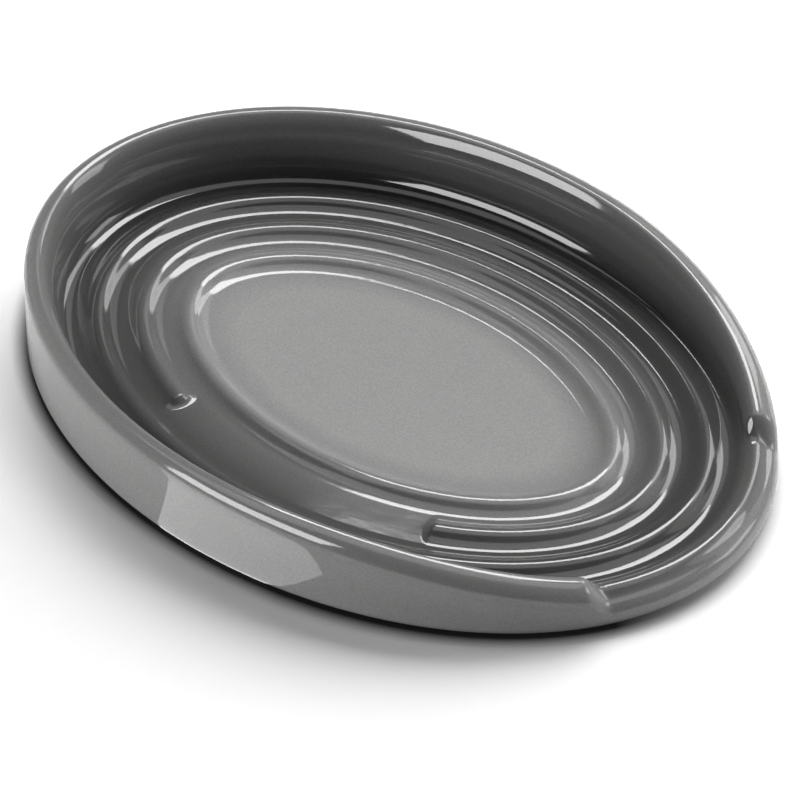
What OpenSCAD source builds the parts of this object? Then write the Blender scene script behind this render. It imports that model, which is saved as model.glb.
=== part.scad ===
// Oval spoon rest in glazed stoneware.
// The dish has a ringed floor, a rim that falls towards the front, and a notch
// at the front where the rim drops to a low lip for the spoon's handle.
// Millimetres, Z up. The foot stands on z = 0 and the notch is at the +X end.
// Sections of the dish are drawn as depth in from the outline and height over
// the table, and lofted round the outline square to it.

/* [Outline] */
// Length over the rim
dish_length = 158; // [148:1:170]
// Width over the rim
dish_width = 115.4; // [112:0.2:124]

/* [Rim] */
// Height of the rim at the back
rim_height = 19.3; // [18:0.1:24]
// Slow fall of the rim from the back to the front end
slow_fall = 3.1; // [2:0.1:3.6]
// Further fall of the rim, from the place where it starts to the front end
front_fall = 9.7; // [7:0.1:10]
// Place along the dish where the further fall starts
fall_start = 10; // [0:1:20]
// Rounding of the rim on the outside at the back
back_round = 2; // [1.6:0.1:2.6]
// Rounding of the rim on the outside at the front
front_round = 4.2; // [3:0.1:4.4]
// Rounding of the rim on the inside, before the shoulder
rim_inner_round = 1.9; // [1.4:0.1:2.2]
// Radius of the shoulder between the rim and the wall's inner face
shoulder_radius = 6.8; // [5:0.1:7]
// Radius of the cove between wall and floor
cove_radius = 3.8; // [3:0.1:4]

/* [Notch] */
// Width of the notch between the middles of its two steps
notch_width = 58; // [46:1:66]
// Length of each step between rim and lip
step_length = 5.6; // [4:0.1:7]
// Height of the lip
lip_height = 7.1; // [6.6:0.1:7.6]
// Rounding of the lip on the outside
lip_round = 2.6; // [2:0.1:3.2]

/* [Floor rings] */
// Height of the floor over the table
floor_height = 5.3; // [5:0.05:5.8]
// Distance from the outline to the crest of the outermost ring
ring_start = 13.85; // [13.7:0.05:14.5]
// Distance between the crests of neighbouring rings
ring_pitch = 9.05; // [8.6:0.05:9.2]
// Height of the rings over the floor
ring_rise = 1.45; // [1:0.05:1.6]
// Part of a ring's curve radii that the crest takes
crest_share = 0.36; // [0.3:0.01:0.5]
// Part of their distance by which the rings are closer at the dish's sides than at its ends
side_share = 0.055; // [0:0.005:0.1]
// Length of the bare band in the middle ring, on the curve at its middle
band_length = 67; // [50:1:80]
// Length over which the middle ring falls to the floor at both ends of the band
cap_length = 2.4; // [2:0.1:4]

/* [Underside] */
// Height of the glaze's lower edge over the table
base_height = 0.35; // [0.3:0.05:0.8]
// Rounding of the lower outside edge
base_round = 2.2; // [1.6:0.1:2.6]
// Distance from the outline to the foot ring
foot_start = 3; // [2.8:0.1:4]
// Width of the foot ring
foot_width = 4; // [3:0.1:5]
// Bevel on the two edges of the foot ring
foot_bevel = 0.25; // [0.1:0.05:0.25]
// Width of the slope from the foot ring into the recess
recess_slope = 1.2; // [0.6:0.1:2]
// Height of the recess over the table
recess_height = 1.3; // [1:0.1:2]

/* [Glaze] */
// Thickness of the glaze
glaze_thickness = 0.35; // [0.25:0.05:0.4]

/* [Hidden] */

// Directions round the outline, in degrees from the front end
quarter_turn = 90;
half_turn = 180;
last_turn = 270;

half_length = dish_length / 2;
half_width = dish_width / 2;

// Steps of the sections' curves: base, rim outside, rim inside and shoulder, cove, half ring
glaze_steps = [3, 4, 2, 4, 4];
clay_steps = [1, 2, 1, 2, 2];

// Rings: crest and groove are two arcs that touch on the slope between them
ring_count = 3;
half_pitch = ring_pitch / 2;
ring_slope = 2 * atan(ring_rise / half_pitch);
radius_sum = half_pitch / sin(ring_slope);
crest_radius = radius_sum * crest_share;
groove_radius = radius_sum - crest_radius;
crest_centre = floor_height + ring_rise - crest_radius;
groove_centre = floor_height + groove_radius;
ring_halves = 2 * ring_count;
first_groove = ring_start - half_pitch;

// Bare band: the middle ring ends in a rounded fall on both sides of it
band_crest = ring_start + ring_pitch;
band_turn = arc_turn(band_length / 2, outline_radius(quarter_turn) - band_crest);
band_bend = outline_radius(quarter_turn - band_turn) - band_crest;
cap_turn = arc_turn(cap_length, band_bend);

// Notch: directions square to the outline at the middle and the ends of its steps
notch_side = notch_width / 2;
notch_middle = atan(notch_side * half_length / half_width / sqrt(pow(half_width, 2) - pow(notch_side, 2)));
step_turn = arc_turn(step_length, outline_radius(notch_middle));
notch_turn = notch_middle - step_turn / 2;
notch_end = notch_middle + step_turn / 2;

// Lip of the notch: a crest like a ring's, rounded off to the outside
lip_crest = ring_start - ring_pitch;
lip_share = (lip_height - floor_height) / ring_rise;
lip_turn = 70;
lip_end = lip_round * (1 - cos(lip_turn));
lip_centre = lip_level(lip_end, 0) - lip_round * sin(lip_turn);

// Inside of the wall: the rim's inner rounding runs into the shoulder, and the
// shoulder into the cove. Width and height of these curves where the wall is high
shoulder_turn = 47.5;
inside_width = rim_inner_round * cos(shoulder_turn)
    + shoulder_radius * (1 - cos(shoulder_turn)) + cove_radius;
inside_height = rim_inner_round * (1 - sin(shoulder_turn))
    + shoulder_radius * sin(shoulder_turn) + cove_radius;
// Part of a low wall's height that these curves may take
low_wall_share = 0.95;

// Directions of the sections, closer together at the band's ends and the steps
flat_turn = band_turn - cap_turn;
turns = concat(
    run(-quarter_turn, flat_turn - quarter_turn, 4),
    run(flat_turn - quarter_turn, band_turn - quarter_turn, 3),
    run(band_turn - quarter_turn, -notch_end, 5),
    run(-notch_end, -notch_turn, 5),
    run(-notch_turn, notch_turn, 14),
    run(notch_turn, notch_end, 5),
    run(notch_end, quarter_turn, 9),
    run(quarter_turn, half_turn, 14),
    run(half_turn, last_turn - band_turn, 11),
    run(last_turn - band_turn, last_turn - flat_turn, 3),
    run(last_turn - flat_turn, last_turn, 4));

// Equal steps from one direction up to, and without, the next
function run(from, to, count) = [for (i = [0 : count - 1]) from + (to - from) * i / count];

// Turn over an arc's length at a radius
function arc_turn(length, radius) = length / radius * half_turn / PI;

// Distance to the tangent, radius and point of the outline square to a direction
function outline_reach(turn) = sqrt(pow(half_length * cos(turn), 2) + pow(half_width * sin(turn), 2));
function outline_radius(turn) = pow(half_length * half_width, 2) / pow(outline_reach(turn), 3);
function outline_point(turn) =
    [pow(half_length, 2) * cos(turn), pow(half_width, 2) * sin(turn)] / outline_reach(turn);

// Place along the dish in a direction, from 0 at the back to 1 at the front
function along_share(turn) = (outline_point(turn).x + half_length) / dish_length;

// Rounding of the rim on the outside in a direction
function outer_round(turn) = back_round + (front_round - back_round) * along_share(turn);

// Height of the rim in a direction: it falls along the dish, faster in the front part
function rim_level(turn) =
    let (front_share = max(0, outline_point(turn).x - fall_start) / (half_length - fall_start))
    rim_height - slow_fall * pow(along_share(turn), 3) - front_fall * pow(front_share, 2);

// Height of a ring's curve at a distance from its crest, inset by g
function ring_level(reach, g) =
    reach < (crest_radius - g) * sin(ring_slope) ?
        crest_centre + sqrt(pow(crest_radius - g, 2) - pow(reach, 2)) :
    reach < half_pitch ?
        groove_centre - sqrt(pow(groove_radius + g, 2) - pow(half_pitch - reach, 2)) :
        floor_height - g;

// Height of the lip at a depth, inset by g
function lip_level(depth, g) =
    floor_height - g + (ring_level(abs(depth - lip_crest), g) - floor_height + g) * lip_share;

// Distance in a direction past the end of the middle ring, with the fall's length
// drawn out to half a pitch
function band_reach(turn) =
    let (away = min(abs(turn + quarter_turn), abs(turn - last_turn)))
    max(0, band_turn - away) / cap_turn * half_pitch;

// Height of the ringed floor at a depth in a direction
function floor_level(turn, depth, g) =
    let (index = round((depth - ring_start) / ring_pitch))
    let (reach = abs(depth - ring_start - index * ring_pitch))
    ring_level(index == 1 ? norm([reach, band_reach(turn)]) : reach, g);

// Depth of a ring's point in a direction: the rings are closer together at the sides
function ring_depth(turn, depth) =
    first_groove + (depth - first_groove) * (1 - side_share * pow(sin(turn), 2));

// Points of an arc with two radii, from its first point or a later one
function arc(centre, radii, from, to, steps, first = 0) =
    [for (i = [first : steps])
        let (turn = from + (to - from) * i / steps)
        centre + [radii.x * cos(turn), radii.y * sin(turn)]];

// Upper part of a section through the wall: rim, shoulder and cove. Their curves are
// drawn together to the width and the height that there is
function wall_part(turn, g, steps) =
    let (level = rim_level(turn), outside = outer_round(turn))
    let (fit = [(first_groove - outside) / inside_width,
        min(1, (level - floor_height) * low_wall_share / inside_height)])
    let (rim_centre = [outside, level - rim_inner_round * fit.y])
    let (lean = [cos(shoulder_turn) * fit.x, sin(shoulder_turn) * fit.y])
    concat(
        arc([outside, level - outside], [outside - g, outside - g], half_turn, quarter_turn, steps[1]),
        arc(rim_centre, rim_inner_round * fit - [g, g], quarter_turn, shoulder_turn, steps[2], 1),
        arc(rim_centre - (shoulder_radius - rim_inner_round) * lean,
            shoulder_radius * fit - [g, g], shoulder_turn, 0, steps[2] + 1, 1),
        arc([first_groove, floor_height + cove_radius * fit.y],
            cove_radius * fit + [g, g], half_turn, last_turn, steps[3]));

// Upper part of a section through the lip, with as many points
function lip_part(g, steps) =
    let (count = 2 * steps[2] + steps[3] + 2)
    concat(
        arc([lip_round, lip_centre],
            [lip_round - g, lip_round - g], half_turn, half_turn - lip_turn, steps[1]),
        [for (i = [1 : count])
            let (depth = lip_end + (first_groove - lip_end) * i / count)
            [depth, lip_level(depth, g)]]);

// Share of the lip in a direction: the step between rim and lip is an S curve
function step_share(turn) =
    let (part = max(0, min(1, (notch_end - abs(turn)) / step_turn)))
    part * part * (3 - 2 * part);

// Section in a direction, from the glaze's lower edge to the level floor
function section(turn, g, steps) =
    let (share = step_share(turn))
    let (wall = wall_part(turn, g, steps))
    let (lip = lip_part(g, steps))
    concat(
        [[foot_start, base_height + g]],
        arc([base_round, base_height + base_round],
            [base_round - g, base_round - g], last_turn, half_turn, steps[0]),
        wall * (1 - share) + lip * share,
        [for (i = [1 : ring_halves * steps[4]])
            let (depth = first_groove + half_pitch * i / steps[4])
            [ring_depth(turn, depth), floor_level(turn, depth, g)]]);

// Section of the clay's underside, from the glaze's edge to the recess
function foot_section() = [
    [foot_start, foot_bevel],
    [foot_start + foot_bevel, 0],
    [foot_start + foot_width - foot_bevel, 0],
    [foot_start + foot_width, foot_bevel],
    [foot_start + foot_width + recess_slope, recess_height]];

// Point in a direction, at a section's depth and height
function spot(turn, at) =
    concat(outline_point(turn) - at.x * [cos(turn), sin(turn)], [at.y]);

// Rings of points round the outline, one for each point of the sections
function loft_rings(sections) =
    [for (j = [0 : len(sections[0]) - 1])
        [for (i = [0 : len(turns) - 1]) spot(turns[i], sections[i][j])]];
function reversed(list) = [for (i = [len(list) - 1 : -1 : 0]) list[i]];

// Solid through rings of points, closed by a level face at both ends
module loft(rings) {
    count = len(turns);
    last = len(rings) - 1;
    polyhedron(
        points = [for (ring = rings) each ring],
        faces = concat(
            [[for (i = [count - 1 : -1 : 0]) i]],
            [for (j = [0 : last - 1]) for (i = [0 : count - 1])
                let (near = j * count, far = near + count, next = (i + 1) % count)
                each [[near + i, near + next, far + next], [near + i, far + next, far + i]]],
            [[for (i = [0 : count - 1]) last * count + i]]),
        convexity = 10);
}

// Rings of the glaze's face and of the clay's face under it
glaze_rings = loft_rings([for (turn = turns) section(turn, 0, glaze_steps)]);
clay_rings = loft_rings([for (turn = turns) section(turn, glaze_thickness, clay_steps)]);
foot_rings = loft_rings([for (turn = turns) foot_section()]);

// Fired clay: the dish under the glaze, with its bare foot ring and recess
module stoneware_body()
    color("#d8cfc0")
        loft(concat(reversed(clay_rings), foot_rings));

// Glaze over the whole dish down to the foot ring
module glaze_coat()
    color("#7d7a78")
        loft(concat(reversed(glaze_rings), clay_rings));

stoneware_body();
glaze_coat();
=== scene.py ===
"""Glazed stoneware spoon rest: glaze coat, bare clay body and a plain studio."""

import math
from typing import NamedTuple

import bpy
import numpy as np
from bpy.props import FloatProperty, FloatVectorProperty, PointerProperty
from mathutils import Matrix, Vector


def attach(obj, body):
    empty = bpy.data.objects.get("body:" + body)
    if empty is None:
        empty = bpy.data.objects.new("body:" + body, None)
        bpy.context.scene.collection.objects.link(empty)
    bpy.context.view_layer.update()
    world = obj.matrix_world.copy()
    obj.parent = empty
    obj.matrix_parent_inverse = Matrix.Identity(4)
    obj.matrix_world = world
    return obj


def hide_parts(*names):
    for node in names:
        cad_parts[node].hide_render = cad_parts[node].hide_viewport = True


bl_info = {
    "name": "Stoneware Spoon Rest",
    "version": (1, 0, 0),
    "blender": (4, 5, 0),
    "location": "3D View > Sidebar > Spoon Rest",
    "description": "Glaze, clay and studio for an oval spoon rest with a ringed floor",
    "category": "Object",
}

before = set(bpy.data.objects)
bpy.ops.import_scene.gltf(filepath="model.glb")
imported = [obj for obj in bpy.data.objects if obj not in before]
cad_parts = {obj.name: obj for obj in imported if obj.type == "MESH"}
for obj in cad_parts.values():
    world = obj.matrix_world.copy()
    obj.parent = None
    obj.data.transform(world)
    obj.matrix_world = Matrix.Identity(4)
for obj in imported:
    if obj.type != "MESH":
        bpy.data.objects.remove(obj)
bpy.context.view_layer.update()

# Directions round the outline, and on the arcs of a section
QUARTER_TURN = math.pi / 2
HALF_TURN = math.pi
LAST_TURN = 3 * QUARTER_TURN

# Sections from one marked turn to the next: half of the plain band, its end, near side,
# step, lip, step, far side in front and behind, near side behind, the band's other end and half
RUN_COUNTS = (14, 14, 24, 22, 56, 22, 40, 60, 50, 14, 14)


class Steps(NamedTuple):
    """Numbers of steps along the stretches of a face's section, from its edge to the middle."""

    base: int
    wall: int
    rim_outside: int
    rim_inside: int
    shoulder: int
    inner_face: int
    cove: int
    half_ring: int
    level_floor: int


GLAZE_STEPS = Steps(
    base=8,
    wall=6,
    rim_outside=12,
    rim_inside=8,
    shoulder=12,
    inner_face=4,
    cove=14,
    half_ring=10,
    level_floor=20,
)
CLAY_STEPS = Steps(
    base=2,
    wall=2,
    rim_outside=5,
    rim_inside=2,
    shoulder=3,
    inner_face=2,
    cove=4,
    half_ring=4,
    level_floor=3,
)

# Turn of the lip's outside rounding, direction in which the rim's inside rounding meets the
# shoulder, and the part of a low wall's height that the curves of its inside may take
LIP_TURN = math.radians(70)
SHOULDER_TURN = math.radians(47.5)
LOW_WALL_SHARE = 0.95

# Halves of the three rings, index of the middle one counted from the outermost, and steps
# of the underside: rounded edge, slope and recess
RING_HALVES = 6
MIDDLE_RING = 1
EDGE_STEPS = 4
SLOPE_STEPS = 8
RECESS_STEPS = 10

# Places along a section, kept as an attribute that the glaze's tone follows
GLAZE_EDGE = 0
RIM_START = 0.8
RIM_TOP = 1
SHOULDER = 1.1
INNER_FACE = 1.5
COVE = 1.7
FIRST_GROOVE = 2
LAST_GROOVE = 3
MIDDLE = 4

# Places where the glaze has a tone of the finish, with blends between them
GLAZE_TONES = (
    (GLAZE_EDGE, "wall_outside"),
    (0.76, "wall_outside"),
    (RIM_TOP, "rim"),
    (1.24, "wall_inside"),
    (1.64, "wall_inside"),
    (1.84, "first_ring"),
    (2.28, "first_ring"),
    (2.6, "rings"),
    (3.16, "floor"),
    (MIDDLE, "floor"),
)

# Noise of the fired surface: detail of the coarse and the fine one, and for glaze and clay
# their scales, the ranges of patches and grain, and strength and depth in metres of the bumps
COARSE_DETAIL = 3
FINE_DETAIL = 2
GLAZE_SCALES = (180, 2600)
GLAZE_PATCHES = (0.97, 1.03)
GLAZE_GRAIN = (0.75, 1.25)
GLAZE_BUMP = (0.04, 0.0004)
CLAY_SCALES = (250, 3000)
CLAY_PATCHES = (0.8, 1.1)
CLAY_GRAIN = (0.75, 1.15)
CLAY_BUMP = (0.4, 0.0002)

# Refraction of the glaze, and roughness of the clay
GLAZE_IOR = 1.5
CLAY_ROUGHNESS = 0.85

# Colour sockets of a Mix node, which share their names with its other sockets
MIX_A = 6
MIX_B = 7
MIX_RESULT = 2

# Floor: its tone where it is seen and in the light that it throws back, and for its painted
# contact shadow the distance from the dish in metres and the openness between which it is darkened
SEEN_TONE = (1.25, 1.25, 1.25, 1)
THROWN_TONE = (0.2, 0.2, 0.2, 1)
PAINTED_SHADOW_DISTANCE = 0.004
PAINTED_SHADOW_OPENNESS = (0.45, 1)

# Direction of the lit end on the floor, the stretch in metres that way over which the
# painted shadow fades, and its darkest factor before and after
LIT_SIDE = (0.80, 0.60, 0)
LIT_STRETCH = (0.040, 0.066)
PAINTED_SHADOW_DARKEST = (0.03, 0.9)

# Lamps: name, azimuth from the front end and elevation in degrees, distance, width and
# height in metres, radiance. Matt faces are lit by the first set, reflections show the second
MATT_LAMPS = (
    ("top box", 112, 47, 1.0, 1.0, 0.8, 4.9),
    ("left fill", -120, 5, 0.95, 0.6, 0.2, 15),
    ("right fill", 35, 10, 0.95, 0.7, 0.25, 12),
    ("front fill", -108, 30, 0.95, 0.585, 0.47, 0.8),
)
MIRRORED_LAMPS = (
    ("left box", -108, 30, 0.9, 0.585, 0.47, 11),
    ("right box", 44, 28, 0.9, 0.35, 0.3, 4),
    ("back box", 108, 57, 0.45, 0.24, 0.12, 14),
    ("window", 86, 34, 0.9, 0.2, 0.44, 4.5),
    ("right wall", 71, 42, 1.2, 1.68, 0.45, 1.0),
    ("ceiling", 126.5, 82, 1.2, 1.4, 0.7, 1.5),
)

# Card on the floor beside the near wall, for reflections only: place of its middle,
# azimuth, length along it, width and radiance
CARD_PLACE = (-0.026, -0.0975, 0.0001)
CARD_AZIMUTH = -128
CARD_LENGTH = 0.110
CARD_WIDTH = 0.034
CARD_RADIANCE = 2.0

# Light from all around, and the camera's shift in metres to its right and up, its film
# width in millimetres and its furthest reach in metres
WORLD_COLOUR = (1, 1, 1, 1)
WORLD_STRENGTH = 0.02
CAMERA_SHIFT = (0.00022, 0.0001)
FILM_WIDTH = 36
CLIP_END = 10


def length(name, description, default):
    """Length property in metres."""
    return FloatProperty(
        name=name, description=description, default=default, unit="LENGTH", precision=5
    )


def colour(name, description, default):
    """Colour property, linear."""
    return FloatVectorProperty(
        name=name, description=description, default=default, size=3, min=0, max=1, subtype="COLOR"
    )


def angle(name, description, degrees):
    """Angle property, its default given in degrees."""
    return FloatProperty(
        name=name, description=description, default=math.radians(degrees), subtype="ANGLE"
    )


def number(name, description, default, low, high):
    """Property without a unit, between two limits."""
    return FloatProperty(name=name, description=description, default=default, min=low, max=high)


class SpoonRestSizes(bpy.types.PropertyGroup):
    """Sizes of the dish, the same as those of the solids."""

    dish_length: length("Length", "Length over the rim", 0.158)
    dish_width: length("Width", "Width over the rim", 0.1154)
    rim_height: length("Rim height", "Height of the rim at the back", 0.0193)
    slow_fall: length("Slow fall", "Slow fall of the rim from the back to the front end", 0.0031)
    front_fall: length("Front fall", "Further fall of the rim in the front part", 0.0097)
    fall_start: length("Fall start", "Place along the dish where the further fall starts", 0.010)
    back_round: length("Back rounding", "Rounding of the rim on the outside at the back", 0.002)
    front_round: length("Front rounding", "Rounding of the rim on the outside at the front", 0.0042)
    rim_inner_round: length("Rim inside", "Rounding of the rim on the inside", 0.0019)
    shoulder_radius: length("Shoulder", "Radius between the rim and the wall's inner face", 0.0068)
    cove_radius: length("Cove", "Radius between wall and floor", 0.0038)
    notch_width: length("Notch", "Width of the notch between the middles of its steps", 0.058)
    step_length: length("Step", "Length of each step between rim and lip", 0.0056)
    lip_height: length("Lip height", "Height of the lip", 0.0071)
    lip_round: length("Lip outside", "Rounding of the lip on the outside", 0.0026)
    floor_height: length("Floor", "Height of the floor over the table", 0.0053)
    ring_start: length("First ring", "Distance from the outline to the outermost crest", 0.01385)
    ring_pitch: length("Ring pitch", "Distance between neighbouring crests", 0.00905)
    ring_rise: length("Ring rise", "Height of the rings over the floor", 0.00145)
    band_length: length("Plain band", "Length of the plain band in the middle ring", 0.067)
    cap_length: length("Band ends", "Length of the middle ring's fall at the band's ends", 0.0024)
    base_height: length("Glaze edge", "Height of the glaze's lower edge", 0.00035)
    base_round: length("Base edge", "Rounding of the lower outside edge", 0.0022)
    foot_start: length("Foot start", "Distance from the outline to the foot ring", 0.003)
    foot_width: length("Foot width", "Width of the foot ring", 0.004)
    foot_bevel: length("Foot bevel", "Bevel of the foot ring", 0.00025)
    recess_slope: length("Recess slope", "Width of the slope into the recess", 0.0012)
    recess_height: length("Recess", "Height of the recess over the table", 0.0013)
    glaze_thickness: length("Glaze", "Thickness of the glaze", 0.00035)
    crest_share: number(
        "Crest share", "Part of a ring's curve radii that the crest takes", 0.36, 0.3, 0.5
    )
    side_share: number(
        "Side share", "Part by which the rings are closer at the sides", 0.055, 0, 0.1
    )


class SpoonRestFinish(bpy.types.PropertyGroup):
    """Colours and gloss of glaze and clay."""

    wall_outside: colour("Outside", "Glaze on the outside of the wall", (0.34, 0.336, 0.334))
    rim: colour("Rim", "Glaze where it breaks thin over the rim", (0.21, 0.208, 0.206))
    wall_inside: colour("Inside", "Glaze on the inside of the wall", (0.13, 0.128, 0.127))
    first_ring: colour("First ring", "Glaze in cove and outermost ring", (0.08, 0.079, 0.078))
    rings: colour("Rings", "Glaze over the middle ring", (0.16, 0.158, 0.157))
    floor: colour("Floor", "Glaze on the level floor", (0.40, 0.397, 0.395))
    clay: colour("Clay", "Bare fired clay", (0.62, 0.54, 0.43))
    gloss: number("Glaze roughness", "Roughness of the glaze", 0.07, 0, 1)


class SpoonRestStudio(bpy.types.PropertyGroup):
    """Camera and floor."""

    azimuth: angle("Azimuth", "Camera's turn about the dish", 36.52)
    elevation: angle("Elevation", "Camera's height over the table", 42.5)
    distance: length("Distance", "Camera's distance from the dish", 1.559)
    lens: number("Lens", "Focal length in millimetres", 364.9, 50, 600)
    floor_size: length("Floor size", "Width of the floor", 3.0)


# Surfaces


def run(start, stop, count):
    """Equal steps from start up to, and without, stop."""
    return np.linspace(start, stop, count, endpoint=False)


def between(start, stop, count):
    """Strip of equal steps along a straight stretch, without its ends."""
    return start + (stop - start) * (np.arange(1, count) / count)


def s_curve(part):
    """Smooth rise from 0 to 1: the part squared, times three less twice the part."""
    return part * part * (3 - 2 * part)


def inner_shares(count):
    """Sizes of the rings inside a ring, from the outermost in, as shares of it."""
    return np.arange(count - 1, 0, -1) / count


def drawn_together(ring, shares):
    """Copies of a ring drawn together towards the middle, each at the ring's own height."""
    scale = np.ones((len(shares), 1, 3))
    scale[:, 0, :2] = shares[:, None]
    return ring * scale


def section_places(steps):
    """Places of the points of a section, at equal steps between the named ones."""
    return np.concatenate([
        np.linspace(GLAZE_EDGE, RIM_START, steps.base + steps.wall + 2)[:-1],
        np.linspace(RIM_START, RIM_TOP, steps.rim_outside + 1),
        np.linspace(RIM_TOP, SHOULDER, steps.rim_inside + 1)[1:],
        np.linspace(SHOULDER, INNER_FACE, steps.shoulder + 1)[1:],
        np.linspace(INNER_FACE, COVE, steps.inner_face + 1)[1:-1],
        np.linspace(COVE, FIRST_GROOVE, steps.cove + 1),
        np.linspace(FIRST_GROOVE, LAST_GROOVE, RING_HALVES * steps.half_ring + 1)[1:],
    ])


class Dish:
    """Formulas of the dish. Turns are the directions of normals of the oval outline, depth is
    measured in from the outline along the normal, and an inset moves the whole face inwards.
    A strip holds depths and heights, each as turns by points of the section."""

    def __init__(self, sizes):
        """Values that follow from the sizes. Half a ring is two arcs that touch: their slope
        there is twice the angle of its rise over half a pitch, and their radii add up to half
        a pitch over the slope's sine. A turn is a length along an oval over its radius."""
        self.sizes = sizes
        self.half_length = sizes.dish_length / 2
        self.half_width = sizes.dish_width / 2
        self.half_pitch = sizes.ring_pitch / 2
        self.slope = 2 * math.atan(sizes.ring_rise / self.half_pitch)
        radius_sum = self.half_pitch / math.sin(self.slope)
        self.crest_radius = radius_sum * sizes.crest_share
        self.groove_radius = radius_sum - self.crest_radius
        self.crest_centre = sizes.floor_height + sizes.ring_rise - self.crest_radius
        self.groove_centre = sizes.floor_height + self.groove_radius
        self.first_groove = sizes.ring_start - self.half_pitch

        self.lip_crest = sizes.ring_start - sizes.ring_pitch
        self.lip_share = (sizes.lip_height - sizes.floor_height) / sizes.ring_rise
        self.lip_end = sizes.lip_round * (1 - math.cos(LIP_TURN))
        lip_top = float(self.lip_level(np.array(self.lip_end), 0))
        self.lip_centre = lip_top - sizes.lip_round * math.sin(LIP_TURN)

        side = sizes.notch_width / 2
        across = self.half_width * math.sqrt(self.half_width**2 - side**2)
        middle = math.atan(side * self.half_length / across)
        self.step_turn = sizes.step_length / self.outline_radius(middle)
        self.notch_turn = middle - self.step_turn / 2
        self.notch_end = middle + self.step_turn / 2

        crest = sizes.ring_start + sizes.ring_pitch
        self.band_turn = sizes.band_length / 2 / (self.outline_radius(QUARTER_TURN) - crest)
        end_radius = self.outline_radius(QUARTER_TURN - self.band_turn) - crest
        self.cap_turn = sizes.cap_length / end_radius

        # Column of the sections' turns, and one of zeros that spreads a value over all of them
        self.turn = self.station_turns()[:, None]
        self.blank = np.zeros_like(self.turn)

    def station_turns(self):
        """Turns of the sections, closer together at the band's ends and at the steps."""
        flat = self.band_turn - self.cap_turn
        marks = (
            -QUARTER_TURN,
            flat - QUARTER_TURN,
            self.band_turn - QUARTER_TURN,
            -self.notch_end,
            -self.notch_turn,
            self.notch_turn,
            self.notch_end,
            QUARTER_TURN,
            HALF_TURN,
            LAST_TURN - self.band_turn,
            LAST_TURN - flat,
            LAST_TURN,
        )
        return np.concatenate([run(*stretch) for stretch in zip(marks, marks[1:], RUN_COUNTS)])

    def outline_reach(self, turn):
        """Distance from the centre to the tangent that is square to a turn: the diagonal of
        half length times cosine and half width times sine."""
        return np.hypot(self.half_length * np.cos(turn), self.half_width * np.sin(turn))

    def outline_radius(self, turn):
        """Radius of the oval where its normal has this turn: the squared product of the half
        axes over the cubed reach."""
        return (self.half_length * self.half_width) ** 2 / self.outline_reach(turn) ** 3

    def outline_point(self, turn):
        """Point of the oval where its normal has this turn: squared half axes times the
        normal, over the reach."""
        reach = self.outline_reach(turn)
        x = self.half_length**2 * np.cos(turn) / reach
        y = self.half_width**2 * np.sin(turn) / reach
        return x, y

    def along_share(self, turn):
        """Place along the dish, 0 at the back and 1 at the front: the distance from the back
        end over the length."""
        return (self.outline_point(turn)[0] + self.half_length) / self.sizes.dish_length

    def rim_level(self, turn):
        """Rim height: a slow cubic fall along the dish, and a square one in the front part."""
        sizes = self.sizes
        past = np.maximum(0, self.outline_point(turn)[0] - sizes.fall_start)
        front = past / (self.half_length - sizes.fall_start)
        slow = sizes.slow_fall * self.along_share(turn) ** 3
        return sizes.rim_height - slow - sizes.front_fall * front**2

    def ring_level(self, reach, inset):
        """Height at a distance from a crest: a crest arc, then a groove arc that touches it,
        then the floor."""
        crest_radius = self.crest_radius - inset
        groove_radius = self.groove_radius + inset
        crest = self.crest_centre + np.sqrt(np.maximum(crest_radius**2 - reach**2, 0))
        away = np.clip(self.half_pitch - reach, 0, groove_radius)
        groove = self.groove_centre - np.sqrt(groove_radius**2 - away**2)
        floor = self.sizes.floor_height - inset
        beside = np.where(reach < self.half_pitch, groove, floor)
        return np.where(reach < crest_radius * math.sin(self.slope), crest, beside)

    def lip_level(self, depth, inset):
        """Height of the lip: a ring's curve about the lip's crest, stretched to its height."""
        floor = self.sizes.floor_height - inset
        ring = self.ring_level(np.abs(depth - self.lip_crest), inset)
        return floor + (ring - floor) * self.lip_share

    def floor_level(self, turn, depth, inset):
        """Height of the ringed floor. Past its end the middle ring is the same curve about
        the end's centre, which is a rounded fall."""
        sizes = self.sizes
        index = np.round((depth - sizes.ring_start) / sizes.ring_pitch)
        reach = np.abs(depth - sizes.ring_start - index * sizes.ring_pitch)
        away = np.minimum(np.abs(turn + QUARTER_TURN), np.abs(turn - LAST_TURN))
        past = np.maximum(0, self.band_turn - away) / self.cap_turn * self.half_pitch
        reach = np.where(index == MIDDLE_RING, np.hypot(reach, past), reach)
        return self.ring_level(reach, inset)

    def step_share(self, turn):
        """Share of the lip at a turn: 0 at the rim, 1 in the notch, an S curve between them."""
        return s_curve(np.clip((self.notch_end - np.abs(turn)) / self.step_turn, 0, 1))

    def arc(self, centre, radii, start, stop, count):
        """Strip along an arc: centre plus radii times cosine and sine of equal steps."""
        angles = np.linspace(start, stop, count + 1)
        depth = centre[0] + radii[0] * np.cos(angles) + self.blank
        height = centre[1] + radii[1] * np.sin(angles) + self.blank
        return np.stack([depth, height])

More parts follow.
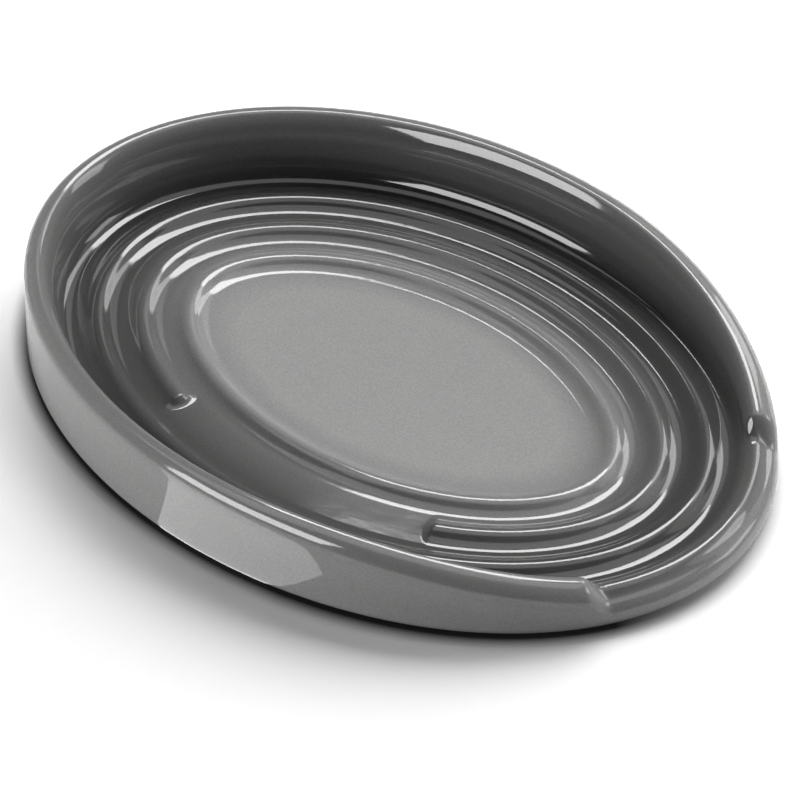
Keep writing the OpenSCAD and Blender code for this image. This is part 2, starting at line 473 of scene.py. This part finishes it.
    def wall_strip(self, inset, steps):
        """Strip of the full wall from the rim's outside to the first groove: arcs over the
        rim, down the shoulder and through the cove, stretched to fit between rim and floor."""
        sizes = self.sizes
        rim_radius = sizes.rim_inner_round
        shoulder_radius = sizes.shoulder_radius
        cove_radius = sizes.cove_radius
        cosine = math.cos(SHOULDER_TURN)
        sine = math.sin(SHOULDER_TURN)
        level = self.rim_level(self.turn)
        growth = sizes.front_round - sizes.back_round
        outside = sizes.back_round + growth * self.along_share(self.turn)
        width = rim_radius * cosine + cove_radius + shoulder_radius * (1 - cosine)
        rise = rim_radius * (1 - sine) + cove_radius + shoulder_radius * sine
        fit_depth = (self.first_groove - outside) / width
        fit_height = np.minimum(1, (level - sizes.floor_height) * LOW_WALL_SHARE / rise)
        fit = np.stack([fit_depth, fit_height])

        radius = outside - inset
        centre = (outside, level - outside)
        outer = self.arc(centre, (radius, radius), HALF_TURN, QUARTER_TURN, steps.rim_outside)
        radii = rim_radius * fit - inset
        centre = np.stack([outside, level - rim_radius * fit_height])
        inner = self.arc(centre, radii, QUARTER_TURN, SHOULDER_TURN, steps.rim_inside)
        radii = shoulder_radius * fit - inset
        lean = shoulder_radius - rim_radius
        centre = centre - np.array([lean * cosine, lean * sine])[:, None, None] * fit
        shoulder = self.arc(centre, radii, SHOULDER_TURN, 0, steps.shoulder)
        radii = cove_radius * fit + inset
        centre = (self.first_groove, sizes.floor_height + cove_radius * fit_height)
        cove = self.arc(centre, radii, HALF_TURN, LAST_TURN, steps.cove)
        face = between(shoulder[..., -1:], cove[..., :1], steps.inner_face)
        return np.concatenate([outer, inner[..., 1:], shoulder[..., 1:], face, cove], -1)

    def lip_strip(self, inset, steps, count):
        """Strip of the low lip, count points long: an arc outside, then the lip's height."""
        radius = self.sizes.lip_round - inset
        centre = (self.sizes.lip_round, self.lip_centre)
        stop = HALF_TURN - LIP_TURN
        outer = self.arc(centre, (radius, radius), HALF_TURN, stop, steps.rim_outside)
        rest = count - steps.rim_outside - 1
        reach = self.first_groove - self.lip_end
        depth = self.lip_end + reach * np.arange(1, rest + 1) / rest + self.blank
        return np.concatenate([outer, np.stack([depth, self.lip_level(depth, inset)])], -1)

    def ring_strip(self, inset, steps):
        """Strip of the rings from the first groove, without it, to the last one. Depths past
        the first groove shrink by the sine squared, so the rings are closer at the sides."""
        counted = np.arange(1, RING_HALVES * steps.half_ring + 1)
        depth = self.first_groove + self.half_pitch * counted / steps.half_ring + self.blank
        height = self.floor_level(self.turn, depth, inset)
        closer = 1 - self.sizes.side_share * np.sin(self.turn) ** 2
        depth = self.first_groove + (depth - self.first_groove) * closer
        return np.stack([depth, height])

    def section(self, inset, steps):
        """Strip of a face from the glaze's lower edge over the rim to the last groove. The
        wall turns into the lip by the step's share."""
        sizes = self.sizes
        edge = np.stack([sizes.foot_start + self.blank, sizes.base_height + inset + self.blank])
        radius = sizes.base_round - inset
        centre = (sizes.base_round, sizes.base_height + sizes.base_round)
        base = self.arc(centre, (radius, radius), LAST_TURN, HALF_TURN, steps.base)
        wall = self.wall_strip(inset, steps)
        lip = self.lip_strip(inset, steps, wall.shape[-1])
        share = self.step_share(self.turn)
        upper = wall * (1 - share) + lip * share
        side = between(base[..., -1:], upper[..., :1], steps.wall)
        return np.concatenate([edge, base, side, upper, self.ring_strip(inset, steps)], -1)

    def loft(self, depth, height):
        """Rings of points: the outline's point, moved in along the normal by the depth."""
        x, y = self.outline_point(self.turn)
        x = x - depth * np.cos(self.turn)
        y = y - depth * np.sin(self.turn)
        return np.stack([x, y, height + self.blank], -1).transpose(1, 0, 2)

    def face_rings(self, inset, steps):
        """Rings of points, and their places, from the middle of the level floor out to the
        glaze's edge. The level floor is the last groove's ring drawn together."""
        points = self.loft(*self.section(inset, steps))
        shares = inner_shares(steps.level_floor)
        rings = np.concatenate([points, drawn_together(points[-1], shares)])
        place = np.concatenate([section_places(steps), MIDDLE - shares])
        return rings[::-1], np.repeat(place[::-1, None], len(self.turn), 1)

    def foot_rings(self):
        """Rings of the bare underside: foot ring with rounded edges, an S-shaped slope, and
        the recess drawn together to the middle."""
        sizes = self.sizes
        bevel = sizes.foot_bevel
        inner = sizes.foot_start + sizes.foot_width
        angles = np.linspace(0, QUARTER_TURN, EDGE_STEPS + 1)
        part = np.linspace(0, 1, SLOPE_STEPS + 1)[1:]
        depth = np.concatenate([
            sizes.foot_start + bevel * (1 - np.cos(angles)),
            inner - bevel * (1 - np.cos(angles[::-1])),
            inner + sizes.recess_slope * part,
        ])
        height = np.concatenate([
            bevel * (1 - np.sin(angles)),
            bevel * (1 - np.sin(angles[::-1])),
            bevel + (sizes.recess_height - bevel) * s_curve(part),
        ])
        points = self.loft(depth, height)
        return np.concatenate([points, drawn_together(points[-1], inner_shares(RECESS_STEPS))])


def closed_mesh(name, rings, place=None):
    """Object through rings of points, closed by a pole in the middle of the first and of the
    last ring."""
    count, size = rings.shape[:2]
    poles = rings[[0, -1]].mean(1)
    points = np.concatenate([rings.reshape(-1, 3), poles])
    index = np.arange(count * size).reshape(count, size)
    after = np.roll(index, -1, axis=1)
    quads = np.stack([index[:-1], index[1:], after[1:], after[:-1]], -1).reshape(-1, 4)
    first_fan = np.stack([np.full(size, count * size), index[0], after[0]], -1)
    last_fan = np.stack([np.full(size, count * size + 1), after[-1], index[-1]], -1)
    mesh = bpy.data.meshes.new(name)
    mesh.from_pydata(points, [], quads.tolist() + first_fan.tolist() + last_fan.tolist())
    mesh.polygons.foreach_set("use_smooth", np.ones(len(mesh.polygons), dtype=bool))
    if place is not None:
        values = np.concatenate([place.reshape(-1), place[[0, -1]].mean(1)])
        attribute = mesh.attributes.new("place", "FLOAT", "POINT")
        attribute.data.foreach_set("value", values.astype(np.float32))
    mesh.update()
    obj = bpy.data.objects.new(name, mesh)
    bpy.context.scene.collection.objects.link(obj)
    return obj


# Finishes


def new_material(name):
    """Material with its node tree and its shader."""
    material = bpy.data.materials.new(name)
    material.use_nodes = True
    return material, material.node_tree, material.node_tree.nodes["Principled BSDF"]


def mottle_group():
    """Group of a coarse and a fine noise of the fired surface, each about 0.5."""
    group = bpy.data.node_groups.get("fired mottle")
    if group:
        return group
    group = bpy.data.node_groups.new("fired mottle", "ShaderNodeTree")
    face = group.interface
    face.new_socket("Vector", in_out="INPUT", socket_type="NodeSocketVector")
    for name in ("Coarse scale", "Fine scale"):
        face.new_socket(name, in_out="INPUT", socket_type="NodeSocketFloat")
    for name in ("Mottle", "Grain"):
        face.new_socket(name, in_out="OUTPUT", socket_type="NodeSocketFloat")
    source = group.nodes.new("NodeGroupInput")
    sink = group.nodes.new("NodeGroupOutput")
    noises = (("Coarse scale", COARSE_DETAIL, "Mottle"), ("Fine scale", FINE_DETAIL, "Grain"))
    for scale, detail, socket in noises:
        noise = group.nodes.new("ShaderNodeTexNoise")
        noise.inputs["Detail"].default_value = detail
        group.links.new(source.outputs["Vector"], noise.inputs["Vector"])
        group.links.new(source.outputs[scale], noise.inputs["Scale"])
        group.links.new(noise.outputs["Fac"], sink.inputs[socket])
    return group


def add_mottle(tree, scales):
    """Mottle group on Object coordinates, with a material's own scales."""
    coords = tree.nodes.new("ShaderNodeTexCoord")
    mottle = tree.nodes.new("ShaderNodeGroup")
    mottle.node_tree = mottle_group()
    mottle.inputs["Coarse scale"].default_value = scales[0]
    mottle.inputs["Fine scale"].default_value = scales[1]
    tree.links.new(coords.outputs["Object"], mottle.inputs["Vector"])
    return mottle


def add_ranged(tree, value, target, source=(0, 1)):
    """Value carried from one range to another."""
    ranged = tree.nodes.new("ShaderNodeMapRange")
    for name, limit in zip(("From Min", "From Max", "To Min", "To Max"), (*source, *target)):
        ranged.inputs[name].default_value = limit
    tree.links.new(value, ranged.inputs["Value"])
    return ranged.outputs["Result"]


def add_scaled_colour(tree, tint, value):
    """Colour times a value."""
    mix = tree.nodes.new("ShaderNodeMix")
    mix.data_type = "RGBA"
    mix.blend_type = "MULTIPLY"
    mix.inputs["Factor"].default_value = 1
    tree.links.new(tint, mix.inputs[MIX_A])
    tree.links.new(value, mix.inputs[MIX_B])
    return mix.outputs[MIX_RESULT]


def add_fired_colour(tree, tint, mottle, patches, grain):
    """Colour with the patches and the grain of the fired surface."""
    for socket, target in (("Mottle", patches), ("Grain", grain)):
        tint = add_scaled_colour(tree, tint, add_ranged(tree, mottle.outputs[socket], target))
    return tint


def add_bump(tree, height, bump):
    """Normal of a face that a height makes uneven."""
    node = tree.nodes.new("ShaderNodeBump")
    node.inputs["Strength"].default_value = bump[0]
    node.inputs["Distance"].default_value = bump[1]
    tree.links.new(height, node.inputs["Height"])
    return node.outputs["Normal"]


def add_place_colour(tree, finish):
    """Colour that follows the place on the section through the tones of the glaze."""
    place = tree.nodes.new("ShaderNodeAttribute")
    place.attribute_name = "place"
    ramp = tree.nodes.new("ShaderNodeValToRGB")
    tree.links.new(add_ranged(tree, place.outputs["Fac"], (0, 1), (0, MIDDLE)), ramp.inputs["Fac"])
    elements = ramp.color_ramp.elements
    for stop, _ in GLAZE_TONES[1:-1]:
        elements.new(stop / MIDDLE)
    for element, (_, tone) in zip(elements, GLAZE_TONES):
        element.color = (*getattr(finish, tone), 1)
    return ramp.outputs["Color"]


def glaze_material(finish):
    """Glossy glaze: its tone follows the place on the section, with fine grain and a slightly
    uneven face."""
    material, tree, shader = new_material("grey glaze")
    mottle = add_mottle(tree, GLAZE_SCALES)
    tint = add_place_colour(tree, finish)
    fired = add_fired_colour(tree, tint, mottle, GLAZE_PATCHES, GLAZE_GRAIN)
    tree.links.new(fired, shader.inputs["Base Color"])
    shader.inputs["Roughness"].default_value = finish.gloss
    shader.inputs["IOR"].default_value = GLAZE_IOR
    normal = add_bump(tree, mottle.outputs["Mottle"], GLAZE_BUMP)
    tree.links.new(normal, shader.inputs["Normal"])
    return material


def clay_material(finish):
    """Matt fired clay: sandy colour with darker grains and a rough face."""
    material, tree, shader = new_material("bare clay")
    mottle = add_mottle(tree, CLAY_SCALES)
    tint = tree.nodes.new("ShaderNodeRGB")
    tint.outputs["Color"].default_value = (*finish.clay, 1)
    fired = add_fired_colour(tree, tint.outputs["Color"], mottle, CLAY_PATCHES, CLAY_GRAIN)
    tree.links.new(fired, shader.inputs["Base Color"])
    shader.inputs["Roughness"].default_value = CLAY_ROUGHNESS
    normal = add_bump(tree, mottle.outputs["Grain"], CLAY_BUMP)
    tree.links.new(normal, shader.inputs["Normal"])
    return material


def add_floor_tone(tree):
    """Colour of the floor: brighter to the camera and in reflections than in the light that
    it throws back."""
    path = tree.nodes.new("ShaderNodeLightPath")
    seen = path.outputs["Is Camera Ray"]
    for ray in ("Is Glossy Ray", "Is Transmission Ray"):
        either = tree.nodes.new("ShaderNodeMath")
        either.operation = "MAXIMUM"
        tree.links.new(seen, either.inputs[0])
        tree.links.new(path.outputs[ray], either.inputs[1])
        seen = either.outputs["Value"]
    tone = tree.nodes.new("ShaderNodeMix")
    tone.data_type = "RGBA"
    tone.inputs[MIX_A].default_value = THROWN_TONE
    tone.inputs[MIX_B].default_value = SEEN_TONE
    tree.links.new(seen, tone.inputs["Factor"])
    return tone.outputs[MIX_RESULT]


def add_painted_contact_shadow(tree):
    """Painted contact shadow: a factor that darkens the floor close beside the dish, less so
    towards the lit end.
    """
    openness = tree.nodes.new("ShaderNodeAmbientOcclusion")
    openness.inputs["Distance"].default_value = PAINTED_SHADOW_DISTANCE
    painted_shadow = add_ranged(tree, openness.outputs["AO"], (0, 1), PAINTED_SHADOW_OPENNESS)
    coords = tree.nodes.new("ShaderNodeTexCoord")
    along = tree.nodes.new("ShaderNodeVectorMath")
    along.operation = "DOT_PRODUCT"
    along.inputs[1].default_value = LIT_SIDE
    tree.links.new(coords.outputs["Object"], along.inputs[0])
    darkest = add_ranged(tree, along.outputs["Value"], PAINTED_SHADOW_DARKEST, LIT_STRETCH)
    tree.links.new(darkest, painted_shadow.node.inputs["To Min"])
    return painted_shadow


def floor_material():
    """Matt white floor that keeps its shadows, with a painted contact shadow close beside the dish.
    """
    material, tree, shader = new_material("studio floor")
    tree.nodes.remove(shader)
    matt = tree.nodes.new("ShaderNodeBsdfDiffuse")
    # Painted contact shadow: the floor's colour is darkened close beside the dish
    tint = add_scaled_colour(tree, add_floor_tone(tree), add_painted_contact_shadow(tree))
    tree.links.new(tint, matt.inputs["Color"])
    tree.links.new(matt.outputs["BSDF"], tree.nodes["Material Output"].inputs["Surface"])
    return material


# Studio


def direction(turn, rise):
    """Unit vector with this turn about the upright axis and this rise over the floor."""
    level = math.cos(rise)
    return Vector((math.cos(turn) * level, math.sin(turn) * level, math.sin(rise)))


def add_floor(scene, size):
    """Level square floor about the dish."""
    half = size / 2
    corners = [(-half, -half, 0), (half, -half, 0), (half, half, 0), (-half, half, 0)]
    mesh = bpy.data.meshes.new("floor")
    mesh.from_pydata(corners, [], [(0, 1, 2, 3)])
    floor = bpy.data.objects.new("floor", mesh)
    scene.collection.objects.link(floor)
    mesh.materials.append(floor_material())


def add_world(scene):
    """Faint even light from all around."""
    world = bpy.data.worlds.new("studio")
    world.use_nodes = True
    background = world.node_tree.nodes["Background"]
    background.inputs["Color"].default_value = WORLD_COLOUR
    background.inputs["Strength"].default_value = WORLD_STRENGTH
    scene.world = world


def add_lamp(scene, name, place, size, radiance, matt):
    """Lamp with a radiance, for matt faces alone or for reflections alone."""
    lamp = bpy.data.lights.new(name, "AREA")
    lamp.shape = "RECTANGLE"
    lamp.size, lamp.size_y = size
    lamp.energy = radiance * math.pi * size[0] * size[1]
    obj = bpy.data.objects.new(name, lamp)
    obj.matrix_world = place
    obj.visible_camera = False
    obj.visible_glossy = not matt
    obj.visible_diffuse = matt
    scene.collection.objects.link(obj)


def add_lamps(scene):
    """Both sets of lamps, which face the dish, and the card, which faces up."""
    for lamps, matt in ((MATT_LAMPS, True), (MIRRORED_LAMPS, False)):
        for name, azimuth, elevation, distance, width, height, radiance in lamps:
            away = direction(math.radians(azimuth), math.radians(elevation))
            facing = away.to_track_quat("Z", "Y").to_matrix().to_4x4()
            place = Matrix.Translation(away * distance) @ facing
            add_lamp(scene, name, place, (width, height), radiance, matt)
    turned = Matrix.Rotation(math.radians(CARD_AZIMUTH), 4, "Z")
    place = Matrix.Translation(CARD_PLACE) @ turned @ Matrix.Rotation(math.pi, 4, "Y")
    add_lamp(scene, "floor card", place, (CARD_LENGTH, CARD_WIDTH), CARD_RADIANCE, False)


def add_camera(scene, studio):
    """Camera that looks at the dish from its azimuth and elevation, with a small shift."""
    back = direction(studio.azimuth - QUARTER_TURN, studio.elevation)
    right = Vector((math.cos(studio.azimuth), math.sin(studio.azimuth), 0))
    up = back.cross(right)
    place = studio.distance * back + CAMERA_SHIFT[0] * right + CAMERA_SHIFT[1] * up
    data = bpy.data.cameras.new("camera")
    data.lens = studio.lens
    data.sensor_width = FILM_WIDTH
    data.clip_end = CLIP_END
    camera = bpy.data.objects.new("camera", data)
    facing = Matrix((right, up, back)).transposed().to_4x4()
    camera.matrix_world = Matrix.Translation(place) @ facing
    scene.collection.objects.link(camera)
    scene.camera = camera


# Operators


class SPOONREST_OT_glaze(bpy.types.Operator):
    """Make the glaze coat over the dish"""

    bl_idname = "spoonrest.glaze"
    bl_label = "Glaze Coat"

    def execute(self, context):
        sizes = context.scene.spoon_rest_sizes
        dish = Dish(sizes)
        outer, outer_place = dish.face_rings(0, GLAZE_STEPS)
        inner, inner_place = dish.face_rings(sizes.glaze_thickness, CLAY_STEPS)
        rings = np.concatenate([outer, inner[::-1]])
        place = np.concatenate([outer_place, inner_place[::-1]])
        coat = closed_mesh("glazed_face", rings, place)
        coat.data.materials.append(glaze_material(context.scene.spoon_rest_finish))
        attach(coat, "root")
        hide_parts("glaze_coat")
        return {"FINISHED"}


class SPOONREST_OT_clay(bpy.types.Operator):
    """Make the clay body with its bare foot ring and recess"""

    bl_idname = "spoonrest.clay"
    bl_label = "Clay Body"

    def execute(self, context):
        sizes = context.scene.spoon_rest_sizes
        dish = Dish(sizes)
        inner, _ = dish.face_rings(sizes.glaze_thickness, CLAY_STEPS)
        body = closed_mesh("clay_body", np.concatenate([inner, dish.foot_rings()]))
        body.data.materials.append(clay_material(context.scene.spoon_rest_finish))
        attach(body, "root")
        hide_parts("stoneware_body")
        return {"FINISHED"}


class SPOONREST_OT_studio(bpy.types.Operator):
    """Make the floor, the lamps and the camera"""

    bl_idname = "spoonrest.studio"
    bl_label = "Studio"

    def execute(self, context):
        scene = context.scene
        scene.view_settings.view_transform = "Standard"
        add_floor(scene, scene.spoon_rest_studio.floor_size)
        add_world(scene)
        add_lamps(scene)
        add_camera(scene, scene.spoon_rest_studio)
        return {"FINISHED"}


class SPOONREST_PT_panel(bpy.types.Panel):
    """Sidebar panel with the sizes, the finish, the studio and their operators"""

    bl_label = "Spoon Rest"
    bl_idname = "SPOONREST_PT_panel"
    bl_space_type = "VIEW_3D"
    bl_region_type = "UI"
    bl_category = "Spoon Rest"

    def draw(self, context):
        scene = context.scene
        for group in (scene.spoon_rest_sizes, scene.spoon_rest_finish, scene.spoon_rest_studio):
            box = self.layout.box()
            for name in group.__annotations__:
                box.prop(group, name)
        for operator in OPERATORS:
            self.layout.operator(operator.bl_idname)


OPERATORS = (SPOONREST_OT_glaze, SPOONREST_OT_clay, SPOONREST_OT_studio)
GROUPS = {
    "spoon_rest_sizes": SpoonRestSizes,
    "spoon_rest_finish": SpoonRestFinish,
    "spoon_rest_studio": SpoonRestStudio,
}
CLASSES = (*GROUPS.values(), *OPERATORS, SPOONREST_PT_panel)


def register():
    for cls in CLASSES:
        bpy.utils.register_class(cls)
    for name, group in GROUPS.items():
        setattr(bpy.types.Scene, name, PointerProperty(type=group))


def unregister():
    for name in GROUPS:
        delattr(bpy.types.Scene, name)
    for cls in reversed(CLASSES):
        bpy.utils.unregister_class(cls)


def main():
    register()
    bpy.ops.spoonrest.glaze()
    bpy.ops.spoonrest.clay()
    bpy.ops.spoonrest.studio()


if __name__ == "__main__":
    main()
